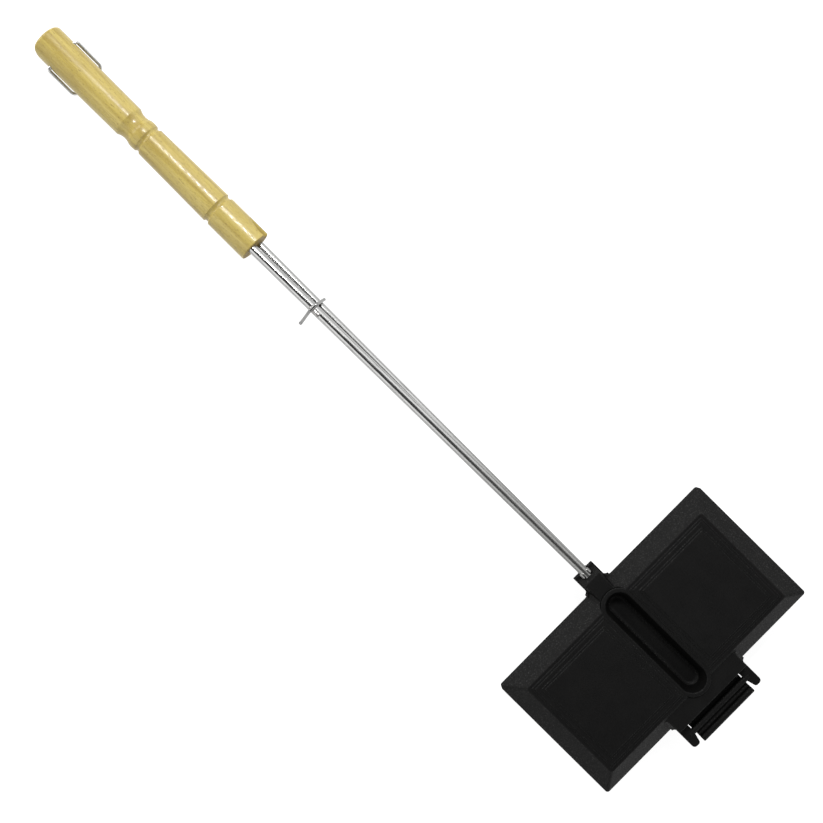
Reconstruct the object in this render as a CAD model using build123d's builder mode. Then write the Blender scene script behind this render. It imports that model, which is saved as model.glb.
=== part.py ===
"""Double pie iron: two hooked cast-iron shells on steel rods with a split wooden handle.

Millimetres. X runs along the tool from the handle tip to the hook, Z is up. The origin is
under the middle of the closed tool, on the plane that its lowest panels touch.
Both halves are the same shape turned half a turn about the tool's line, apart from the
hinge: the upper half has a slot, a cross bar and two ears, the lower half a tongue and a lip.
"""
import os
from math import atan2, cos, hypot, radians, sin, sqrt

from build123d import *

# ---------------------------------------------------------------- overall
overall_length = 711.0        # handle tip to the outside of the hook's lip
lip_reach = 80.3              # middle of the heads to the outside of the lip

# ---------------------------------------------------------------- cast shells
head_length = 111.2           # along X
head_width = 208.0            # along Y
head_corner = 2.2             # rounding of the shell's corners, seen from above
rim_height = 4.5              # upright edge of the rim
plateau_height = 17.2         # rim face to the flat back
side_run = 12.1               # plan width of the two slopes across X
end_run = 13.8                # plan width of the two slopes across Y
plateau_edge_round = 1.0

step_insets = (2.2, 4.0, 7.2, 9.0)   # foot of each panel step, in from the plateau's edge
step_rise = 0.7
step_draft = 40.0             # degrees from upright

trough_length = 96.0          # groove between the two panels, at the plateau
trough_width = 21.4
trough_floor = 4.7            # rim face to the groove's floor
trough_draft = 20.0           # degrees
trough_floor_round = 3.0
trough_edge_cut = 0.5         # bevel round the groove's edge
trough_wall = 3.0             # wall round the groove's two ends
trough_wall_draft = 6.0       # degrees
trough_wall_round = 0.8       # outer edge of the wall's top

rim_width = 6.0               # flat rim round the pockets
land_width = 22.0             # flat between the two pockets
pocket_depth = 15.5
pocket_corner = 6.0
pocket_side_run = 10.5        # how far the pocket's walls lean in across X
pocket_end_run = 12.0         # and at its outer end
pocket_land_run = 6.0         # and at the land
pocket_floor_round = 3.0

boss_reach = 72.35            # middle of the heads to the foot of the rod socket
boss_width = 18.5
boss_top_width = 14.4
boss_height = 14.0
boss_front_run = 7.2          # how far the socket's front leans back
boss_root = 28.0              # length of the socket's block, from its foot into the shell
boss_fillet = 4.5             # in plan, where the socket's flange meets the rim
boss_web = 3.0                # fillet between the block's sides and the shell's slope

tab_reach = 59.3              # middle of the heads to the end of the hinge tab
tab_width = 70.8
tab_height = 15.5
tab_root = 20.0               # length of the tab's block, from its end into the shell
tab_draft = 0.6               # how far the tab's walls lean in over their height
tab_fillet = 3.0
tab_web = 2.5
block_edge_round = 0.8        # top edges of the socket's block and of the tab
web_hollow = 0.34             # depth of a web's hollow face at its middle, over its size
web_root = 1.0                # how far a web runs into the block and the shell

# ---------------------------------------------------------------- hinge
bar_diameter = 4.8            # cross bar
bar_reach = 68.9              # middle of the heads to the bar's centre line
bar_lift = 0.3                # rim face to the underside of the bar
ear_root = 8.6                # slot's end to the tab's side
slot_foot = 0.6               # plan width of the ledge left between the tab and the slot
slot_round = 1.3
ear_thickness = 4.4
ear_reach = 78.2
ear_flare = 2.5               # how far the gap between the ears widens to each side
ear_round = 2.8
ear_tip_round = 2.2           # inner corner of each ear's tip

hook_gap = 0.3                # rim face down to the top of the tongue
tongue_thickness = 4.5
hook_side_gap = 0.6           # between the hook and the ears, on each side
neck_gap = 3.3                # slot's end to the neck
neck_end_gap = 1.4            # the neck stops this short of the cross bar, seen from above
lip_thickness = 4.9
lip_height = 5.2              # above the rim face
lip_round = 2.2
throat_round = 2.4
hook_heel_round = 5.0
hook_end_round = 0.8

# ---------------------------------------------------------------- rods
rod_diameter = 7.2
rod_height = 6.0              # rim face to the rod's centre line
rod_skew = 2.7                # sideways offset of the rod where it ends in the handle
socket_depth = 18.0           # rod end past the foot of the socket
rod_fit = 0.03                # radial clearance of the rod in its socket and in the wood
rod_end_round = 0.8
swage_radius = 2.1            # two ridges pinched up along the rod at the socket's mouth
swage_spread = 4.4            # between the ridges' centre lines
swage_lift = 1.3              # ridges' centre lines, outwards of the rod's
swage_length = 5.4
swage_overhang = 0.6          # ridges' near end, out of the socket's foot
swage_end_round = 1.5
swage_clearance = 0.15

# ---------------------------------------------------------------- handle
grip_length = 217.8
grip_tip_radius = 13.1
grip_neck_radius = 12.55      # before the first groove
grip_bead_radius = 11.9       # between the first two grooves
grip_bead_rise = 0.3
grip_waist_radius = 11.95     # behind the second groove
grip_collar_radius = 12.85    # at the third groove
grip_front_radius = 12.95
grip_gap = 0.6                # between the two halves
grip_tip_round = 2.6
grip_end_round = 1.0
cove_start = 86.4             # first groove, from the tip
cove_bottom = 93.6
cove_end = 98.1
cove_depth = 1.7
ring_centre = 106.5           # second groove
ring_width = 4.4
ring_depth = 1.2
collar_centre = 179.0         # third groove
collar_width = 4.6
collar_depth = 1.4
tip_bevel_length = 8.8        # one corner of the tip is rounded off further
tip_bevel_width = 6.4
tip_bevel_bulge = 0.29        # from the corner to the bevel's middle, over its size
rod_in_grip = 60.0
relief_flat = 7.7             # the upper half's edge is cut back at the rod end
relief_run_out = 11.8
relief_depth = 3.0

# ---------------------------------------------------------------- clasp
clasp_wire = 2.5
clasp_width = 32.0            # outside to outside
clasp_from_tip = 18.4         # pivot to the handle's tip
clasp_pivot_height = 3.8      # above the parting plane
clasp_pin_depth = 5.2
clasp_pin_fit = 0.08          # radial clearance of the wire in its holes
clasp_pin_end_gap = 0.4
clasp_end_bend = 2.4          # centre-line radius of the bend at each end
clasp_bow_bend = 4.6          # centre-line radius of the bends at the bow
clasp_reach = 22.0            # pivot to the bow, along X
clasp_seat_gap = 0.3          # bow to the wood

# ---------------------------------------------------------------- rod guide
guide_wire = 2.5
guide_from_grip = 63.1        # handle's front to the guide
guide_slant = 0.4             # degrees
guide_flat = 7.0              # straight part over the upper rod
guide_short_out = 7.0         # short leg: sideways from the flat's end to the leg's tip
guide_short_down = 15.8
guide_long_out = 9.8          # long leg
guide_long_down = 15.2
guide_foot_out = 2.2          # the long leg's turned-out foot
guide_foot_down = 1.0
guide_bend = 2.0
guide_sink = 0.25             # the wire's seat pressed into the rod
wire_end_round = 0.6
weld_radius = 2.0             # across the rod
weld_rise = 0.7               # above the rod's top
weld_offset = 1.2             # sideways of the rod's middle
weld_length = 9.6
weld_behind = 2.2             # length on the handle's side of the wire's middle
weld_end_round = 1.2

# ---------------------------------------------------------------- worked out
UPPER, LOWER = 1, -1
head_x = overall_length / 2 - lip_reach
tip_x = -overall_length / 2
grip_front_x = tip_x + grip_length
panel_height = plateau_height + len(step_insets) * step_rise
parting_z = panel_height
plateau_length = head_length - 2 * side_run
plateau_width = head_width - 2 * end_run
rod_radius = rod_diameter / 2
rod_bore_radius = rod_radius + rod_fit
bar_height = bar_lift + bar_diameter / 2
bar_near = bar_reach - bar_diameter / 2
slot_width = tab_width - 2 * ear_root
hook_width = slot_width - 2 * hook_side_gap
neck_width = slot_width - 2 * neck_gap
lip_near = lip_reach - lip_thickness
clasp_x = tip_x + clasp_from_tip
clasp_half_width = (clasp_width - clasp_wire) / 2
guide_x = grip_front_x + guide_from_grip
guide_height = rod_height + rod_radius + guide_wire / 2 - guide_sink


def back_plane(side, height=0.0):
    """Plane over the middle of the heads, height outwards of the rim face, facing out of the half."""
    origin = (head_x, 0, parting_z + side * height)
    return Plane(origin=origin, x_dir=(1, 0, 0), z_dir=(0, 0, side))


def rod_ends(side):
    """Centre of a rod at the bottom of its socket and where it enters the wood."""
    level = parting_z + side * rod_height
    socket_end = Vector(head_x - boss_reach + socket_depth, 0, level)
    grip_end = Vector(grip_front_x, -side * rod_skew, level)
    return socket_end, grip_end


def rod_plane(side, along=0.0):
    """Plane square to a rod, along from its end in the socket; X points out of that half."""
    socket_end, grip_end = rod_ends(side)
    plane = Plane(origin=socket_end, x_dir=(0, 0, side), z_dir=grip_end - socket_end)
    return plane.offset(along)


def swage_outline(side, clearance=0.0):
    """Section of the two ridges beside a rod, at their end inside the socket."""
    start = socket_depth + swage_overhang - swage_length - clearance
    with BuildSketch(rod_plane(side, start)) as outline:
        with Locations((swage_lift, swage_spread / 2), (swage_lift, -swage_spread / 2)):
            Circle(swage_radius + clearance)
    return outline.sketch


def rod_length(side):
    """Length of a rod from the bottom of its socket to its end in the wood."""
    socket_end, grip_end = rod_ends(side)
    return (grip_end - socket_end).length + rod_in_grip


def grip_radius(from_tip):
    """Radius of the handle between its tip and its first groove."""
    return grip_tip_radius + (grip_neck_radius - grip_tip_radius) * from_tip / cove_start


def outer_face(part, side):
    """Flat face of a part that lies furthest up for side 1 and furthest down for side -1."""
    return part.faces().sort_by(Axis.Z)[-1 if side > 0 else 0]


def nearest(sketch, x, y):
    """Corner of a sketch nearest to a point of its plane."""
    return sketch.vertices().sort_by_distance((x, y))[0]


# ---------------------------------------------------------------- castings
def rim_outline(side):
    """Plan of the rim with the rod socket and the hinge tab, filleted where they join it."""
    with BuildSketch(back_plane(side)) as outline:
        RectangleRounded(head_length, head_width, head_corner)
        with Locations((-boss_reach + boss_root / 2, 0)):
            Rectangle(boss_root, boss_width)
        with Locations((tab_reach - tab_root / 2, 0)):
            Rectangle(tab_root, tab_width)
        for edge_x, half_width, radius in (
            (-head_length / 2, boss_width / 2, boss_fillet),
            (head_length / 2, tab_width / 2, tab_fillet),
        ):
            fillet([nearest(outline, edge_x, row * half_width) for row in (1, -1)], radius)
    return outline.sketch


def panel_outline(side, inset, height):
    """Plan of both panels at one step."""
    inner = trough_width / 2 + inset
    outer = plateau_width / 2 - inset
    with BuildSketch(back_plane(side, height)) as outline:
        with Locations((0, (inner + outer) / 2), (0, -(inner + outer) / 2)):
            Rectangle(plateau_length - 2 * inset, outer - inner)
    return outline.sketch


def make_ring(side):
    """Drafted block round the groove; only its two ends stand free of the shell's slopes."""
    with BuildPart() as ring:
        with BuildSketch(back_plane(side, plateau_height)):
            SlotOverall(trough_length + 2 * trough_wall, trough_width + 2 * trough_wall)
        extrude(amount=-(plateau_height - rim_height / 2), taper=-trough_wall_draft)
        fillet(outer_face(ring, side).edges(), trough_wall_round)
    return ring


def make_back(side):
    """Outside of a shell: sloped back, stepped panels, walls at the groove's ends."""
    with BuildPart() as back:
        with BuildSketch(back_plane(side, rim_height)):
            RectangleRounded(head_length, head_width, head_corner)
        with BuildSketch(back_plane(side, plateau_height)):
            RectangleRounded(plateau_length, plateau_width, head_corner)
        loft(ruled=True)
        fillet(outer_face(back, side).edges(), plateau_edge_round)
        add(make_ring(side).part)
        extrude(rim_outline(side), amount=rim_height)
        for number, inset in enumerate(step_insets):
            level = plateau_height + number * step_rise
            extrude(panel_outline(side, inset, level), amount=step_rise, taper=step_draft)
    return back


def make_blocks(side):
    """Rod socket's block and hinge tab of one shell."""
    boss_foot = -boss_reach
    boss_end = boss_foot + boss_root
    boss_middle = (boss_foot + boss_end) / 2
    with BuildPart() as boss:
        with BuildSketch(back_plane(side)):
            with Locations((boss_middle, 0)):
                Rectangle(boss_root, boss_width)
        with BuildSketch(back_plane(side, boss_height)):
            with Locations((boss_middle + boss_front_run / 2, 0)):
                Rectangle(boss_root - boss_front_run, boss_top_width)
        loft(ruled=True)
        fillet(outer_face(boss, side).edges(), block_edge_round)
    with BuildPart() as tab:
        with BuildSketch(back_plane(side)):
            with Locations((tab_reach - tab_root / 2, 0)):
                Rectangle(tab_root, tab_width)
        with BuildSketch(back_plane(side, tab_height)):
            with Locations((tab_reach - tab_root / 2, 0)):
                Rectangle(tab_root, tab_width - 2 * tab_draft)
        loft(ruled=True)
        fillet(outer_face(tab, side).edges(), block_edge_round)
    return boss, tab


def make_pocket(side, row):
    """Space of one pocket; row is 1 or -1 for the pocket's side of the tool's line."""
    mouth_length = head_length - 2 * rim_width
    mouth_inner = land_width / 2
    mouth_outer = head_width / 2 - rim_width
    floor_inner = mouth_inner + pocket_land_run
    floor_outer = mouth_outer - pocket_end_run
    floor_length = mouth_length - 2 * pocket_side_run
    with BuildPart() as pocket:
        with BuildSketch(back_plane(side)):
            with Locations((0, row * (mouth_inner + mouth_outer) / 2)):
                RectangleRounded(mouth_length, mouth_outer - mouth_inner, pocket_corner)
        with BuildSketch(back_plane(side, pocket_depth)):
            with Locations((0, row * (floor_inner + floor_outer) / 2)):
                RectangleRounded(floor_length, floor_outer - floor_inner, pocket_corner)
        loft(ruled=True)
        fillet(outer_face(pocket, side).edges(), pocket_floor_round)
    return pocket


def make_trough(side):
    """Space of the groove between the two panels."""
    with BuildPart() as trough:
        with BuildSketch(back_plane(side, plateau_height)):
            SlotOverall(trough_length, trough_width)
        extrude(amount=-(plateau_height - trough_floor), taper=trough_draft)
        fillet(outer_face(trough, -side).edges(), trough_floor_round)
        with BuildSketch(back_plane(side, plateau_height)):
            SlotOverall(trough_length + 2 * trough_edge_cut, trough_width + 2 * trough_edge_cut)
        extrude(amount=-trough_edge_cut, taper=45)
    return trough


def slope_reach(height):
    """Reach along X of the shell's long slopes."""
    return head_length / 2 - side_run * (height - rim_height) / (plateau_height - rim_height)


def block_half(width, top_width, block_height, height):
    """Half the width of a drafted block at one height."""
    return (width + (top_width - width) * height / block_height) / 2


def web_outline(side, end, half, size, height):
    """Plan of the fillet beside a block at one height; end is -1 at the socket and 1 at the tab."""
    wall_x = end * slope_reach(height)
    hollow = size * web_hollow
    with BuildSketch(back_plane(side, height)) as outline:
        for row in (1, -1):
            with BuildLine():
                Polyline(
                    (wall_x + end * size, row * half),
                    (wall_x + end * size, row * (half - web_root)),
                    (wall_x - end * web_root, row * (half - web_root)),
                    (wall_x - end * web_root, row * (half + size)),
                    (wall_x, row * (half + size)),
                )
                ThreePointArc(
                    (wall_x, row * (half + size)),
                    (wall_x + end * hollow, row * (half + hollow)),
                    (wall_x + end * size, row * half),
                )
            make_face()
    return outline.sketch


def make_webs(side):
    """Fillets between the two blocks and the shell's slope, one on each side of each block."""
    blocks = (
        (-1, boss_width, boss_top_width, boss_height, boss_web),
        (1, tab_width, tab_width - 2 * tab_draft, tab_height, tab_web),
    )
    with BuildPart() as webs:
        for end, width, top_width, block_height, size in blocks:
            heights = (rim_height / 2, block_height - block_edge_round)
            sections = [
                web_outline(side, end, block_half(width, top_width, block_height, height), size, height)
                for height in heights
            ]
            for faces in zip(*(section.faces().sort_by(Axis.Y) for section in sections)):
                loft(faces, ruled=True)
    return webs


def make_shell(side):
    """One cast shell without its hinge parts."""
    back = make_back(side)
    boss, tab = make_blocks(side)
    webs = make_webs(side)
    trough = make_trough(side)
    pockets = [make_pocket(side, row) for row in (1, -1)]
    with BuildPart() as shell:
        add(back.part)
        add(boss.part)
        add(tab.part)
        add(webs.part)
        add(trough.part, mode=Mode.SUBTRACT)
        for pocket in pockets:
            add(pocket.part, mode=Mode.SUBTRACT)
        with BuildSketch(rod_plane(side)):
            Circle(rod_bore_radius)
        extrude(amount=2 * socket_depth, mode=Mode.SUBTRACT)
        extrude(swage_outline(side, swage_clearance), amount=socket_depth, mode=Mode.SUBTRACT)
    return shell


def make_upper_casting():
    """Upper shell with its slotted plate: cross bar and two ears."""
    shell = make_shell(UPPER)
    plate_root = tab_reach - tab_root / 2
    slot_near = tab_reach + slot_foot
    slot_half = slot_width / 2
    tip_half = slot_half + ear_flare
    with BuildPart() as loop:
        with BuildSketch(back_plane(UPPER, bar_lift)) as plate:
            with Locations(((plate_root + ear_reach) / 2, 0)):
                RectangleRounded(ear_reach - plate_root, tab_width, ear_round)
            with BuildLine():
                Polyline(
                    (slot_near, -slot_half),
                    (slot_near, slot_half),
                    (bar_reach, slot_half),
                    (ear_reach, tip_half),
                    (ear_reach, -tip_half),
                    (bar_reach, -slot_half),
                    close=True,
                )
            make_face(mode=Mode.SUBTRACT)
            fillet([nearest(plate, slot_near, row * slot_half) for row in (1, -1)], slot_round)
            fillet([nearest(plate, ear_reach, row * tip_half) for row in (1, -1)], ear_tip_round)
        extrude(amount=ear_thickness)
        with BuildSketch(Plane(origin=(head_x + bar_reach, 0, parting_z + bar_height), z_dir=(0, 1, 0))):
            Circle(bar_diameter / 2)
        extrude(amount=(slot_width + tab_width) / 4, both=True)
    with BuildPart() as upper_casting:
        add(shell.part)
        add(loop.part)
    return upper_casting


def make_lower_casting():
    """Lower shell with its tongue and curled lip."""
    shell = make_shell(LOWER)
    top = -hook_gap
    bottom = top - tongue_thickness
    root = tab_reach - tab_root / 2
    side_plane = Plane(origin=(head_x, 0, parting_z), x_dir=(1, 0, 0), z_dir=(0, -1, 0))
    with BuildPart() as hook:
        with BuildSketch(side_plane) as profile:
            with BuildLine():
                Polyline(
                    (root, top),
                    (lip_near, top),
                    (lip_near, lip_height),
                    (lip_reach, lip_height),
                    (lip_reach, bottom),
                    (root, bottom),
                    close=True,
                )
            make_face()
            fillet(nearest(profile, lip_near, top), throat_round)
            fillet(nearest(profile, lip_reach, bottom), hook_heel_round)
            fillet([nearest(profile, x, lip_height) for x in (lip_near, lip_reach)], lip_round)
        extrude(amount=hook_width / 2, both=True)
        end_faces = hook.faces().filter_by(Axis.Y)
        fillet(end_faces.edges(), hook_end_round)
        neck_end = bar_near - neck_end_gap
        with BuildSketch(back_plane(LOWER)):
            with Locations(((tab_reach + neck_end) / 2, 0)):
                Rectangle(neck_end - tab_reach, hook_width)
                Rectangle(neck_end - tab_reach, neck_width, mode=Mode.SUBTRACT)
        extrude(amount=tab_height, mode=Mode.SUBTRACT)
    with BuildPart() as lower_casting:
        add(shell.part)
        add(hook.part)
    return lower_casting


# ---------------------------------------------------------------- rods
def make_rod(side):
    """Straight round rod with two short ridges pinched up at the socket's mouth."""
    with BuildPart() as rod:
        with BuildSketch(rod_plane(side)):
            Circle(rod_radius)
        extrude(amount=rod_length(side))
        fillet(rod.edges().filter_by(GeomType.CIRCLE), rod_end_round)
    with BuildPart() as ridges:
        extrude(swage_outline(side), amount=swage_length)
        fillet(ridges.edges().filter_by(GeomType.CIRCLE), swage_end_round)
    with BuildPart() as swaged_rod:
        add(rod.part)
        add(ridges.part)
    return swaged_rod


def guide_plane():
    """Plane of the bent guide wire; its X points along the flat over the upper rod, its Y up."""
    socket_end, grip_end = rod_ends(UPPER)
    share = (socket_end.X - guide_x) / (socket_end.X - grip_end.X)
    rod_y = socket_end.Y + share * (grip_end.Y - socket_end.Y)
    slant = radians(guide_slant)
    origin = (guide_x, rod_y, parting_z + guide_height)
    return Plane(origin=origin, x_dir=(sin(slant), cos(slant), 0), z_dir=(cos(slant), -sin(slant), 0))


def make_upper_rod():
    """Upper rod with the guide wire's seat pressed into its top."""
    rod = make_rod(UPPER)
    across = guide_plane()
    with BuildPart() as upper_rod:
        add(rod.part)
        with BuildSketch(Plane(origin=across.origin, z_dir=across.x_dir)):
            Circle(guide_wire / 2)
        extrude(amount=guide_flat / 2, both=True, mode=Mode.SUBTRACT)
    return upper_rod


def make_lower_rod():
    """Lower rod."""
    return make_rod(LOWER)


# ---------------------------------------------------------------- wires
def make_rod_guide():
    """Bent wire over the upper rod, its two legs splayed down past the lower rod."""
    half_flat = guide_flat / 2
    with BuildPart() as rod_guide:
        with BuildLine(guide_plane()) as path:
            FilletPolyline(
                (half_flat + guide_short_out, -guide_short_down),
                (half_flat, 0),
                (-half_flat, 0),
                (-half_flat - guide_long_out, -guide_long_down),
                (-half_flat - guide_long_out - guide_foot_out, -guide_long_down - guide_foot_down),
                radius=guide_bend,
            )
        with BuildSketch(Plane(origin=path.line @ 0, z_dir=path.line % 0)):
            Circle(guide_wire / 2)
        sweep()
        ends = rod_guide.faces().filter_by(GeomType.PLANE)
        fillet(ends.edges(), wire_end_round)
    return rod_guide


def make_guide_weld():
    """Weld bead between the guide wire and the upper rod; the wire passes over it."""
    rod = make_rod(UPPER)
    guide = make_rod_guide()
    middle = guide_plane()
    bead_height = weld_rise - weld_radius - guide_wire / 2 + guide_sink
    with BuildPart() as guide_weld:
        with BuildSketch(middle.offset(-weld_behind)):
            with Locations((-weld_offset, bead_height)):
                Circle(weld_radius)
        extrude(amount=weld_length)
        fillet(guide_weld.edges().filter_by(GeomType.CIRCLE), weld_end_round)
        add(rod.part, mode=Mode.SUBTRACT)
        add(guide.part, mode=Mode.SUBTRACT)
    return guide_weld


def clasp_pin_end_y():
    """Distance of each wire end from the tool's line."""
    surface = sqrt(grip_radius(clasp_from_tip) ** 2 - clasp_pivot_height ** 2)
    return surface - clasp_pin_depth


def make_handle_clasp():
    """Wire bail: its ends sit in the upper handle half, its bow lies under the lower half."""
    wood_radius = grip_radius(clasp_from_tip + clasp_reach)
    bow_drop = clasp_pivot_height + wood_radius + clasp_seat_gap + clasp_wire / 2
    arm = hypot(clasp_reach, bow_drop)
    lean = atan2(bow_drop, clasp_reach)
    pin_end = clasp_pin_end_y()
    origin = (clasp_x, 0, parting_z + clasp_pivot_height)
    plane = Plane(origin=origin, x_dir=(cos(lean), 0, -sin(lean)), z_dir=(sin(lean), 0, cos(lean)))
    with BuildPart() as handle_clasp:
        with BuildLine(plane) as path:
            FilletPolyline(
                (0, pin_end),
                (0, clasp_half_width),
                (arm, clasp_half_width),
                (arm, -clasp_half_width),
                (0, -clasp_half_width),
                (0, -pin_end),
                radius=[clasp_end_bend, clasp_bow_bend, clasp_bow_bend, clasp_end_bend],
            )
        with BuildSketch(Plane(origin=path.line @ 0, z_dir=path.line % 0)):
            Circle(clasp_wire / 2)
        sweep()
    return handle_clasp


# ---------------------------------------------------------------- handle
def tip_bevel_outline():
    """Plan of what is cut off the handle's one rounded corner."""
    far = 2 * grip_tip_radius
    bevel_end = tip_x + tip_bevel_length
    bevel_start = tip_bevel_width - grip_tip_radius
    middle_x = tip_x + tip_bevel_length * tip_bevel_bulge
    middle_y = tip_bevel_width * tip_bevel_bulge - grip_tip_radius
    with BuildSketch(Plane.XY.offset(parting_z)) as outline:
        with BuildLine():
            ThreePointArc((bevel_end, -grip_tip_radius), (middle_x, middle_y), (tip_x, bevel_start))
            Polyline(
                (tip_x, bevel_start),
                (tip_x - far, bevel_start),
                (tip_x - far, -far),
                (bevel_end, -far),
                (bevel_end, -grip_tip_radius),
            )
        make_face()
    return outline.sketch


def make_grip(side):
    """One half of the turned handle, with its rod bore."""
    ring_start, ring_end = ring_centre - ring_width / 2, ring_centre + ring_width / 2
    collar_start, collar_end = collar_centre - collar_width / 2, collar_centre + collar_width / 2
    bead_middle = (cove_end + ring_start) / 2
    turning_plane = Plane(origin=(tip_x, 0, parting_z), x_dir=(1, 0, 0), z_dir=(0, -1, 0))
    with BuildPart() as grip:
        with BuildSketch(turning_plane) as profile:
            with BuildLine():
                Line((0, 0), (0, grip_tip_radius))
                Line((0, grip_tip_radius), (cove_start, grip_neck_radius))
                ThreePointArc(
                    (cove_start, grip_neck_radius),
                    (cove_bottom, grip_neck_radius - cove_depth),
                    (cove_end, grip_bead_radius),
                )
                ThreePointArc(
                    (cove_end, grip_bead_radius),
                    (bead_middle, grip_bead_radius + grip_bead_rise),
                    (ring_start, grip_bead_radius),
                )
                ThreePointArc(
                    (ring_start, grip_bead_radius),
                    (ring_centre, grip_bead_radius - ring_depth),
                    (ring_end, grip_waist_radius),
                )
                Line((ring_end, grip_waist_radius), (collar_start, grip_collar_radius))
                ThreePointArc(
                    (collar_start, grip_collar_radius),
                    (collar_centre, grip_collar_radius - collar_depth),
                    (collar_end, grip_collar_radius),
                )
                Line((collar_end, grip_collar_radius), (grip_length, grip_front_radius))
                Line((grip_length, grip_front_radius), (grip_length, 0))
                Line((grip_length, 0), (0, 0))
            make_face()
            fillet(nearest(profile, 0, grip_tip_radius), grip_tip_round)
            fillet(nearest(profile, grip_length, grip_front_radius), grip_end_round)
        revolve(axis=Axis((tip_x, 0, parting_z), (1, 0, 0)))
        split(bisect_by=back_plane(side, grip_gap / 2), keep=Keep.TOP)
        extrude(tip_bevel_outline(), amount=2 * grip_tip_radius, both=True, mode=Mode.SUBTRACT)
        with BuildSketch(rod_plane(side)):
            Circle(rod_bore_radius)
        extrude(amount=rod_length(side) + rod_fit, mode=Mode.SUBTRACT)
    return grip


def make_upper_grip():
    """Upper handle half: blind holes for the clasp's ends, and its edge cut back at the rod end."""
    grip = make_grip(UPPER)
    relief_start = grip_front_x - relief_flat - relief_run_out
    with BuildPart() as upper_grip:
        add(grip.part)
        for row in (1, -1):
            end_y = row * (clasp_pin_end_y() - clasp_pin_end_gap)
            hole_end = (clasp_x, end_y, parting_z + clasp_pivot_height)
            with BuildSketch(Plane(origin=hole_end, z_dir=(0, row, 0))):
                Circle(clasp_wire / 2 + clasp_pin_fit)
            extrude(amount=grip_tip_radius, mode=Mode.SUBTRACT)
        with BuildSketch(Plane.XY.offset(parting_z)):
            with BuildLine():
                Polyline(
                    (relief_start, grip_front_radius),
                    (grip_front_x - relief_flat, grip_front_radius - relief_depth),
                    (grip_front_x + relief_flat, grip_front_radius - relief_depth),
                    (grip_front_x + relief_flat, 2 * grip_front_radius),
                    (relief_start, 2 * grip_front_radius),
                    close=True,
                )
            make_face()
        extrude(amount=2 * grip_front_radius, mode=Mode.SUBTRACT)
    return upper_grip


def make_lower_grip():
    """Lower handle half."""
    return make_grip(LOWER)


MAKERS = {
    "upper_casting": make_upper_casting,
    "lower_casting": make_lower_casting,
    "upper_rod": make_upper_rod,
    "lower_rod": make_lower_rod,
    "upper_grip": make_upper_grip,
    "lower_grip": make_lower_grip,
    "handle_clasp": make_handle_clasp,
    "rod_guide": make_rod_guide,
    "guide_weld": make_guide_weld,
}

os.makedirs("parts", exist_ok=True)
for label, maker in MAKERS.items():
    piece = maker()
    piece.part.label = label
    export_step(piece.part, f"parts/{label}.step")
    print(f"{label:15s} {piece.part.volume:12.1f} mm3")
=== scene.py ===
"""Looks of the closed double pie iron: finishes of its pieces, the studio and the camera."""

import logging
from dataclasses import dataclass
from enum import Enum
from math import cos, radians, sin

import bpy
from mathutils import Matrix, Vector

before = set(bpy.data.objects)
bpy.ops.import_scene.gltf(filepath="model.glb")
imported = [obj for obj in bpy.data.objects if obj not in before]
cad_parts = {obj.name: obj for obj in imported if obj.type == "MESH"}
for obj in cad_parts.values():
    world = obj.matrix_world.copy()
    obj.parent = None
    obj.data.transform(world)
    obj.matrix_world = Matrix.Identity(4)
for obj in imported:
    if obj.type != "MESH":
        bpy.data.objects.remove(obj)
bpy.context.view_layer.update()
LOG = logging.getLogger("pie_iron")

Socket = bpy.types.NodeSocket
Triple = tuple[float, float, float]

MM = 0.001
WHITE = (1.0, 1.0, 1.0, 1.0)
PAPER_GREY = (0.25, 0.25, 0.25, 1.0)
WOOD_LEAN: Triple = (0.0, 1.5, 3.0)
TOOL_MIDDLE: Triple = (0.0, 0.0, 0.02)
HEAD_MIDDLE: Triple = (0.27, 0.0, 0.02)
GUIDE_GREY: Triple = (0.25, 0.25, 0.245)
CLASP_GREY: Triple = (0.52, 0.52, 0.51)


class Axis(Enum):
    """Axes of the shared frame."""

    X = "X"
    Y = "Y"
    Z = "Z"


@dataclass(frozen=True)
class Ramp:
    """A smooth change: start at and below low, end at and above high."""

    low: float
    high: float
    start: float = 0.0
    end: float = 1.0


@dataclass(frozen=True)
class Pattern:
    """Soft noise whose features are as long as asked.

    Attributes:
        sizes: Feature length along X, Y and Z, in metres.
        detail: Number of finer layers.
        roughness: Strength of the finer layers.
        turn: Turn about X, Y and Z, in degrees.
    """

    sizes: Triple
    detail: float = 2.0
    roughness: float = 0.5
    turn: Triple = (0.0, 0.0, 0.0)


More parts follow.
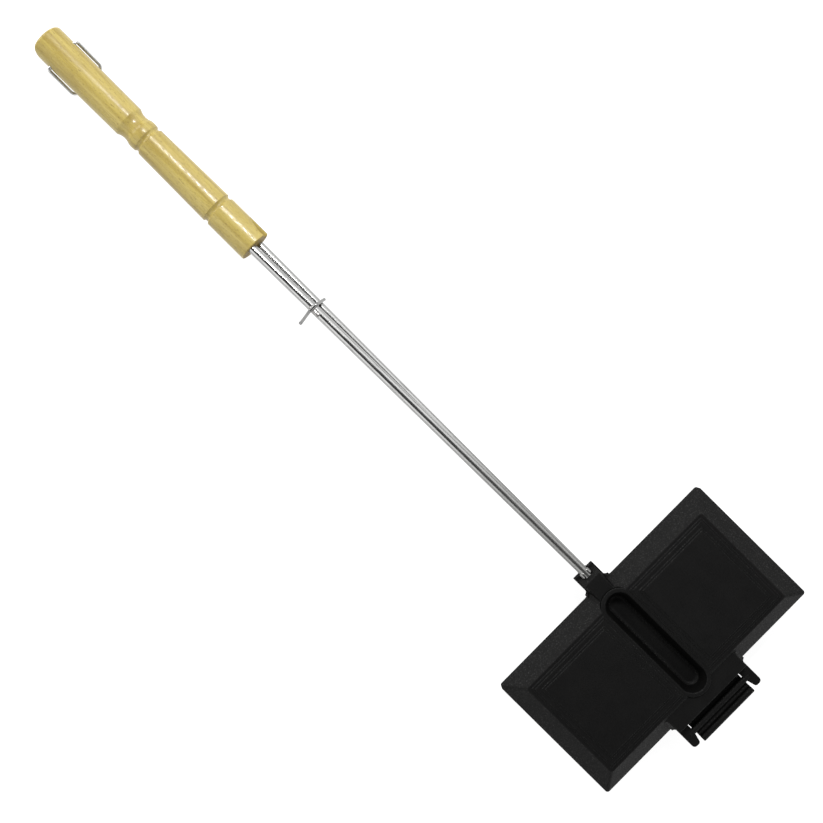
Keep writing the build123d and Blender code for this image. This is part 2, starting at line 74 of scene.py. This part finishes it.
class ShaderBench:
    """Lays out the nodes of one procedural material."""

    bevel_samples = 6

    def __init__(self, name: str) -> None:
        """Starts an empty material.

        Args:
            name: The material's name.
        """
        self.material = bpy.data.materials.new(name)
        self.material.use_nodes = True
        self.nodes = self.material.node_tree.nodes
        self.links = self.material.node_tree.links
        self.nodes.clear()
        output = self.nodes.new("ShaderNodeOutputMaterial")
        self.shader = self.nodes.new("ShaderNodeBsdfPrincipled")
        self.links.new(self.shader.outputs["BSDF"], output.inputs["Surface"])
        coordinates = self.nodes.new("ShaderNodeTexCoord")
        self.place = coordinates.outputs["Object"]
        self.facing = coordinates.outputs["Normal"]

    def set(self, **values: object) -> None:
        """Sets the shader's own sockets, with underscores for the spaces in their names."""
        for name, value in values.items():
            self.shader.inputs[name.replace("_", " ")].default_value = value

    def feed(self, value: Socket, name: str) -> None:
        """Joins a value to one of the shader's sockets."""
        self.links.new(value, self.shader.inputs[name])

    def noise(self, pattern: Pattern) -> Socket:
        """Gives a pattern's value, from 0 to 1."""
        mapping = self.nodes.new("ShaderNodeMapping")
        mapping.vector_type = "POINT"
        mapping.inputs["Rotation"].default_value = [radians(angle) for angle in pattern.turn]
        mapping.inputs["Scale"].default_value = [1 / size for size in pattern.sizes]
        self.links.new(self.place, mapping.inputs["Vector"])
        texture = self.nodes.new("ShaderNodeTexNoise")
        texture.inputs["Scale"].default_value = 1.0
        texture.inputs["Detail"].default_value = pattern.detail
        texture.inputs["Roughness"].default_value = pattern.roughness
        self.links.new(mapping.outputs["Vector"], texture.inputs["Vector"])
        return texture.outputs["Fac"]

    def ramp(self, value: Socket, ramp: Ramp) -> Socket:
        """Maps a value through a smooth change."""
        node = self.nodes.new("ShaderNodeMapRange")
        node.interpolation_type = "SMOOTHSTEP"
        node.inputs["From Min"].default_value = ramp.low
        node.inputs["From Max"].default_value = ramp.high
        node.inputs["To Min"].default_value = ramp.start
        node.inputs["To Max"].default_value = ramp.end
        self.links.new(value, node.inputs["Value"])
        return node.outputs["Result"]

    def mixed(self, share: Socket, first: Socket | Triple, second: Socket | Triple) -> Socket:
        """Mixes two colours.

        Args:
            share: How much of the second colour shows.
            first: Colour at share 0.
            second: Colour at share 1.

        Returns:
            The mixed colour.
        """
        node = self.nodes.new("ShaderNodeMix")
        node.data_type = "RGBA"
        self.links.new(share, node.inputs["Factor"])
        for key, colour in (("A", first), ("B", second)):
            target = next(s for s in node.inputs if s.name == key and s.type == "RGBA")
            if isinstance(colour, tuple):
                target.default_value = (*colour, 1.0)
            else:
                self.links.new(colour, target)
        return next(s for s in node.outputs if s.type == "RGBA")

    def sum_of(self, first: Socket, second: Socket, share: float) -> Socket:
        """Adds a share of the second value to the first."""
        node = self.nodes.new("ShaderNodeMath")
        node.operation = "MULTIPLY_ADD"
        node.inputs[1].default_value = share
        self.links.new(second, node.inputs[0])
        self.links.new(first, node.inputs[2])
        return node.outputs["Value"]

    def product(self, first: Socket, second: Socket) -> Socket:
        """Multiplies two values."""
        node = self.nodes.new("ShaderNodeMath")
        node.operation = "MULTIPLY"
        self.links.new(first, node.inputs[0])
        self.links.new(second, node.inputs[1])
        return node.outputs["Value"]

    def component(self, vector: Socket, axis: Axis) -> Socket:
        """Gives one component of a vector."""
        node = self.nodes.new("ShaderNodeSeparateXYZ")
        self.links.new(vector, node.inputs["Vector"])
        return node.outputs[axis.value]

    def along(self, axis: Axis) -> Socket:
        """Gives one object coordinate, in metres."""
        return self.component(self.place, axis)

    def flatness(self) -> Socket:
        """Gives how level the surface lies: 1 on level faces, 0 on upright ones."""
        size = self.nodes.new("ShaderNodeMath")
        size.operation = "ABSOLUTE"
        self.links.new(self.component(self.facing, Axis.Z), size.inputs[0])
        return size.outputs["Value"]

    def raise_surface(self, height: Socket, depth: float, edge: float = 0.0) -> None:
        """Bumps the surface, and softens its edges if asked.

        Args:
            height: Height pattern from 0 to 1.
            depth: Depth of the pattern in metres.
            edge: Radius of the softened edges in metres.
        """
        bump = self.nodes.new("ShaderNodeBump")
        bump.inputs["Strength"].default_value = 1.0
        bump.inputs["Distance"].default_value = depth
        self.links.new(height, bump.inputs["Height"])
        if edge > 0:
            bevel = self.nodes.new("ShaderNodeBevel")
            bevel.samples = self.bevel_samples
            bevel.inputs["Radius"].default_value = edge
            self.links.new(bevel.outputs["Normal"], bump.inputs["Normal"])
        self.feed(bump.outputs["Normal"], "Normal")


@dataclass(frozen=True)
class CastIron:
    """Sand-cast iron, seasoned near-black: sandy skin, softened edges and a low sheen."""

    black: Triple = (0.0018, 0.0018, 0.00175)
    worn: Triple = (0.0032, 0.00315, 0.003)
    # Painted glint colour: lighter grains painted on the slopes stand in for highlights.
    painted_glint: Triple = (0.022, 0.0215, 0.021)
    grains: Pattern = Pattern((0.9 * MM,) * 3, detail=3.0, roughness=0.65)
    skin: Pattern = Pattern((0.35 * MM,) * 3)
    swell: Pattern = Pattern((14 * MM,) * 3, detail=3.0)
    off_level: Ramp = Ramp(0.86, 0.97, 1.0, 0.0)
    off_upright: Ramp = Ramp(0.3, 0.5)
    wear: Ramp = Ramp(0.3, 0.75, 0.15, 0.85)
    painted_glint_grains: Ramp = Ramp(0.56, 0.68)
    roughness: Ramp = Ramp(0.3, 0.75, 0.68, 0.5)
    sheen: Ramp = Ramp(0.3, 0.5, 0.01, 0.115)
    skin_share: float = 0.35
    depth: float = 0.14 * MM
    edge: float = 0.3 * MM

    def material(self) -> bpy.types.Material:
        """Makes the material, whose painted glints (grains painted lighter in the base colour)
        show on the slopes only.
        """
        bench = ShaderBench("cast_iron")
        grains, skin, swell = (bench.noise(p) for p in (self.grains, self.skin, self.swell))
        level = bench.flatness()
        slopes = bench.product(
            bench.ramp(level, self.off_level), bench.ramp(level, self.off_upright))
        tone = bench.mixed(bench.ramp(swell, self.wear), self.black, self.worn)
        # Painted glints: grains on the slopes only are painted lighter, standing in for
        # highlights.
        painted_glints = bench.product(slopes, bench.ramp(grains, self.painted_glint_grains))
        bench.feed(bench.mixed(painted_glints, tone, self.painted_glint), "Base Color")
        bench.feed(bench.ramp(grains, self.roughness), "Roughness")
        bench.feed(bench.ramp(level, self.sheen), "Specular IOR Level")
        bench.raise_surface(bench.sum_of(grains, skin, self.skin_share), self.depth, self.edge)
        return bench.material


@dataclass(frozen=True)
class PlatedSteel:
    """Bright plated steel, drawn lengthwise; it can turn satin towards the heads."""

    name: str
    colour: Triple = (0.38, 0.38, 0.375)
    dull: Triple = (0.22, 0.22, 0.215)
    bright: float = 0.15
    satin: float = 0.3
    satin_from: float = 0.0
    satin_to: float = 0.17
    lines: Pattern = Pattern((60 * MM, 0.5 * MM, 0.5 * MM), detail=3.0)
    stains: Pattern = Pattern((9 * MM, 2.5 * MM, 2.5 * MM), detail=3.0)
    stain_shade: float = 0.5
    stain_colour: Ramp = Ramp(0.5, 0.8, 0.0, 0.5)
    stain_roughness: Ramp = Ramp(0.4, 0.75)
    stain_share: float = 0.06
    depth: float = 0.004 * MM

    def material(self) -> bpy.types.Material:
        """Makes the material."""
        bench = ShaderBench(self.name)
        lines, stains = bench.noise(self.lines), bench.noise(self.stains)
        length = bench.along(Axis.X)
        dulled = bench.ramp(length, Ramp(self.satin_from, self.satin_to))
        tone = bench.mixed(dulled, self.colour, self.dull)
        shade = tuple(self.stain_shade * part for part in self.colour)
        stained = bench.mixed(bench.ramp(stains, self.stain_colour), tone, shade)
        bench.feed(stained, "Base Color")
        finish = Ramp(self.satin_from, self.satin_to, self.bright, self.satin)
        rough_stains = bench.ramp(stains, self.stain_roughness)
        roughness = bench.sum_of(bench.ramp(length, finish), rough_stains, self.stain_share)
        bench.feed(roughness, "Roughness")
        bench.set(Metallic=1.0)
        bench.raise_surface(lines, self.depth)
        return bench.material


@dataclass(frozen=True)
class LacqueredWood:
    """Pale turned hardwood with fine dark flecks under clear gloss lacquer."""

    pale: Triple = (0.405, 0.322, 0.092)
    honey: Triple = (0.29, 0.215, 0.053)
    fleck: Triple = (0.15, 0.1, 0.02)
    # End face colour: the end grain's own darker tone, partly painted shade.
    end_grain_and_shade: Triple = (0.24, 0.17, 0.05)
    bands: Pattern = Pattern((70 * MM, 4.5 * MM, 4.5 * MM), detail=4.0, turn=WOOD_LEAN)
    threads: Pattern = Pattern((14 * MM, 0.55 * MM, 0.55 * MM), detail=2.0, turn=WOOD_LEAN)
    flecks: Pattern = Pattern((3.2 * MM, 0.6 * MM, 0.6 * MM), detail=1.0, turn=WOOD_LEAN)
    band_share: Ramp = Ramp(0.35, 0.68)
    thread_share: Ramp = Ramp(0.46, 0.7, 0.0, 0.6)
    fleck_share: Ramp = Ramp(0.6, 0.72, 0.0, 0.7)
    front_x: float = -0.1377
    bare_from: float = 0.5 * MM
    bare_to: float = 0.1 * MM
    coat_roughness: Ramp = Ramp(0.3, 0.7, 0.16, 0.4)
    coat_weight: Ramp = Ramp(0.0, 1.0, 0.6, 0.0)
    roughness: float = 0.5
    sheen: float = 0.1
    fleck_height: float = -0.25
    depth: float = 0.05 * MM
    edge: float = 0.3 * MM

    def material(self) -> bpy.types.Material:
        """Makes the material, bare of lacquer on the end face at the handle's front, whose colour
        there is painted darker: end grain tone and painted shade.
        """
        bench = ShaderBench("lacquered_wood")
        bands, threads, flecks = (
            bench.noise(p) for p in (self.bands, self.threads, self.flecks))
        tone = bench.mixed(bench.ramp(bands, self.band_share), self.pale, self.honey)
        tone = bench.mixed(bench.ramp(threads, self.thread_share), tone, self.honey)
        tone = bench.mixed(bench.ramp(flecks, self.fleck_share), tone, self.fleck)
        bare = Ramp(self.front_x - self.bare_from, self.front_x - self.bare_to)
        at_front = bench.ramp(bench.along(Axis.X), bare)
        # The end face is painted darker: partly end grain, partly painted shade.
        bench.feed(bench.mixed(at_front, tone, self.end_grain_and_shade), "Base Color")
        bench.feed(bench.ramp(flecks, self.coat_roughness), "Coat Roughness")
        bench.feed(bench.ramp(at_front, self.coat_weight), "Coat Weight")
        bench.set(Roughness=self.roughness, Specular_IOR_Level=self.sheen)
        bench.raise_surface(bench.sum_of(bands, flecks, self.fleck_height), self.depth, self.edge)
        return bench.material


@dataclass(frozen=True)
class WeldMetal:
    """Plated weld bead: lumpy and duller than the rod, with painted shade in dark patches that
    follow its lumps.
    """

    colour: Triple = (0.42, 0.41, 0.4)
    # Painted shade: a dark colour laid in patches that follow the lump pattern.
    painted_lump_shade: Triple = (0.12, 0.115, 0.11)
    lumps: Pattern = Pattern((1.1 * MM,) * 3, detail=3.0)
    painted_lump_shade_share: Ramp = Ramp(0.35, 0.7)
    roughness: float = 0.3
    depth: float = 0.3 * MM

    def material(self) -> bpy.types.Material:
        """Makes the material."""
        bench = ShaderBench("weld_metal")
        lumps = bench.noise(self.lumps)
        # Painted shade: the bead is painted dark in patches that follow its lumps.
        tone = bench.mixed(bench.ramp(lumps, self.painted_lump_shade_share), self.colour, self.painted_lump_shade)
        bench.feed(tone, "Base Color")
        bench.set(Metallic=1.0, Roughness=self.roughness)
        bench.raise_surface(lumps, self.depth)
        return bench.material


def dress(node: str, material: bpy.types.Material) -> None:
    """Gives a CAD node its finish.

    Args:
        node: The node's name.
        material: The finish.
    """
    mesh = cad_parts[node].data
    mesh.materials.clear()
    mesh.materials.append(material)
    LOG.info("%s is dressed in %s", node, material.name)


@dataclass
class Castings:
    """The two cast shells."""

    finish: CastIron = CastIron()

    def build(self) -> None:
        """Dresses both shells."""
        iron = self.finish.material()
        for node in ("upper_casting", "lower_casting"):
            dress(node, iron)


@dataclass
class Rods:
    """The two plated rods."""

    finish: PlatedSteel = PlatedSteel("plated_rod")

    def build(self) -> None:
        """Dresses both rods."""
        steel = self.finish.material()
        for node in ("upper_rod", "lower_rod"):
            dress(node, steel)


@dataclass
class Handle:
    """The two halves of the turned handle."""

    finish: LacqueredWood = LacqueredWood()

    def build(self) -> None:
        """Dresses both halves."""
        wood = self.finish.material()
        for node in ("upper_grip", "lower_grip"):
            dress(node, wood)


@dataclass
class Wires:
    """The clasp, the rod guide and its weld."""

    guide_finish: PlatedSteel = PlatedSteel(
        "guide_wire", colour=GUIDE_GREY, dull=GUIDE_GREY, bright=0.22, satin=0.22)
    clasp_finish: PlatedSteel = PlatedSteel(
        "clasp_wire", colour=CLASP_GREY, dull=CLASP_GREY, bright=0.32, satin=0.32)
    weld: WeldMetal = WeldMetal()

    def build(self) -> None:
        """Dresses the wires and the weld bead."""
        dress("rod_guide", self.guide_finish.material())
        dress("handle_clasp", self.clasp_finish.material())
        dress("guide_weld", self.weld.material())


def hang(
    name: str, data: bpy.types.ID, place: Triple, aim: Triple, turn: float
) -> bpy.types.Object:
    """Hangs a lamp or a camera in the studio, turned towards a point.

    Args:
        name: The new object's name.
        data: The lamp or the camera.
        place: Where it hangs.
        aim: The point that it looks at.
        turn: Heading of its right-hand side, in degrees from X.

    Returns:
        The new object.
    """
    holder = bpy.data.objects.new(name, data)
    bpy.context.scene.collection.objects.link(holder)
    back = (Vector(place) - Vector(aim)).normalized()
    heading = Vector((cos(radians(turn)), sin(radians(turn)), 0))
    up = back.cross(heading).normalized()
    turned = Matrix((up.cross(back), up, back)).transposed().to_4x4()
    holder.matrix_world = Matrix.Translation(place) @ turned
    return holder


@dataclass(frozen=True)
class Softbox:
    """A rectangular studio lamp hung round the tool, its length along X."""

    name: str
    place: Triple
    length: float
    width: float
    power: float
    aim: Triple = TOOL_MIDDLE

    def build(self) -> None:
        """Hangs the lamp."""
        lamp = bpy.data.lights.new(self.name, "AREA")
        lamp.shape = "RECTANGLE"
        lamp.size, lamp.size_y = self.length, self.width
        lamp.energy = self.power
        hang(self.name, lamp, self.place, self.aim, turn=0.0)


@dataclass
class Studio:
    """Pale floor, soft lamps and the camera over the tool."""

    floor_half: float = 6.0
    floor_drop: float = 0.2 * MM
    floor_roughness: float = 0.9
    floor_glow: float = 0.9
    eye: Triple = (0.025811, -0.008886, 1.030071)
    aim: Triple = (0.030118, -0.005569, 0.02)
    turn: float = 44.681
    focal_length: float = 59.705
    sensor_width: float = 36.0
    nearest_seen: float = 10 * MM
    room_light: float = 0.08
    backdrop_light: float = 1.0
    lamps: tuple[Softbox, ...] = (
        Softbox("key", (-0.5, 0.7, 1.3), 0.32, 0.3, 20.0),
        Softbox("far_box", (0.0, 1.36, 0.87), 2.0, 1.42, 16.0),
        Softbox("near_box", (0.0, -1.36, 0.87), 2.0, 1.42, 16.0),
        Softbox("handle_box", (-2.0, 0.0, 0.8), 1.0, 2.0, 36.0),
        Softbox("hinge_box", (2.2, 0.0, 0.5), 0.8, 2.0, 15.0, aim=HEAD_MIDDLE),
    )

    def build(self) -> None:
        """Sets up floor, surroundings, lamps and camera."""
        self._floor()
        self._surroundings()
        for lamp in self.lamps:
            lamp.build()
        self._camera()
        bpy.context.scene.view_settings.view_transform = "Standard"

    def _floor(self) -> None:
        """Lays the pale floor under the tool."""
        bpy.ops.object.select_all(action="DESELECT")
        bpy.ops.mesh.primitive_plane_add(
            size=2 * self.floor_half, location=(0, 0, -self.floor_drop))
        floor = bpy.context.object
        floor.name = "floor"
        bench = ShaderBench("floor_paper")
        bench.set(Base_Color=PAPER_GREY, Roughness=self.floor_roughness)
        bench.set(Specular_IOR_Level=0.0, Emission_Color=WHITE, Emission_Strength=self.floor_glow)
        floor.data.materials.append(bench.material)

    def _surroundings(self) -> None:
        """Makes the dim room, with a white backdrop behind the tool."""
        world = bpy.data.worlds.new("room")
        world.use_nodes = True
        nodes, links = world.node_tree.nodes, world.node_tree.links
        seen = nodes.new("ShaderNodeLightPath").outputs["Is Camera Ray"]
        strength = nodes.new("ShaderNodeMapRange")
        strength.inputs["To Min"].default_value = self.room_light
        strength.inputs["To Max"].default_value = self.backdrop_light
        links.new(seen, strength.inputs["Value"])
        background = nodes["Background"]
        background.inputs["Color"].default_value = WHITE
        links.new(strength.outputs["Result"], background.inputs["Strength"])
        bpy.context.scene.world = world

    def _camera(self) -> None:
        """Hangs the camera over the tool, looking almost straight down."""
        camera = bpy.data.cameras.new("camera")
        camera.lens = self.focal_length
        camera.sensor_width = self.sensor_width
        camera.clip_start = self.nearest_seen
        bpy.context.scene.camera = hang("camera", camera, self.eye, self.aim, self.turn)


def main() -> None:
    """Dresses the tool piece by piece and sets up the studio round it."""
    for assembly in (Castings(), Rods(), Handle(), Wires(), Studio()):
        assembly.build()
        LOG.info("%s done", type(assembly).__name__)


if __name__ == "__main__":
    logging.basicConfig(level=logging.INFO)
    main()
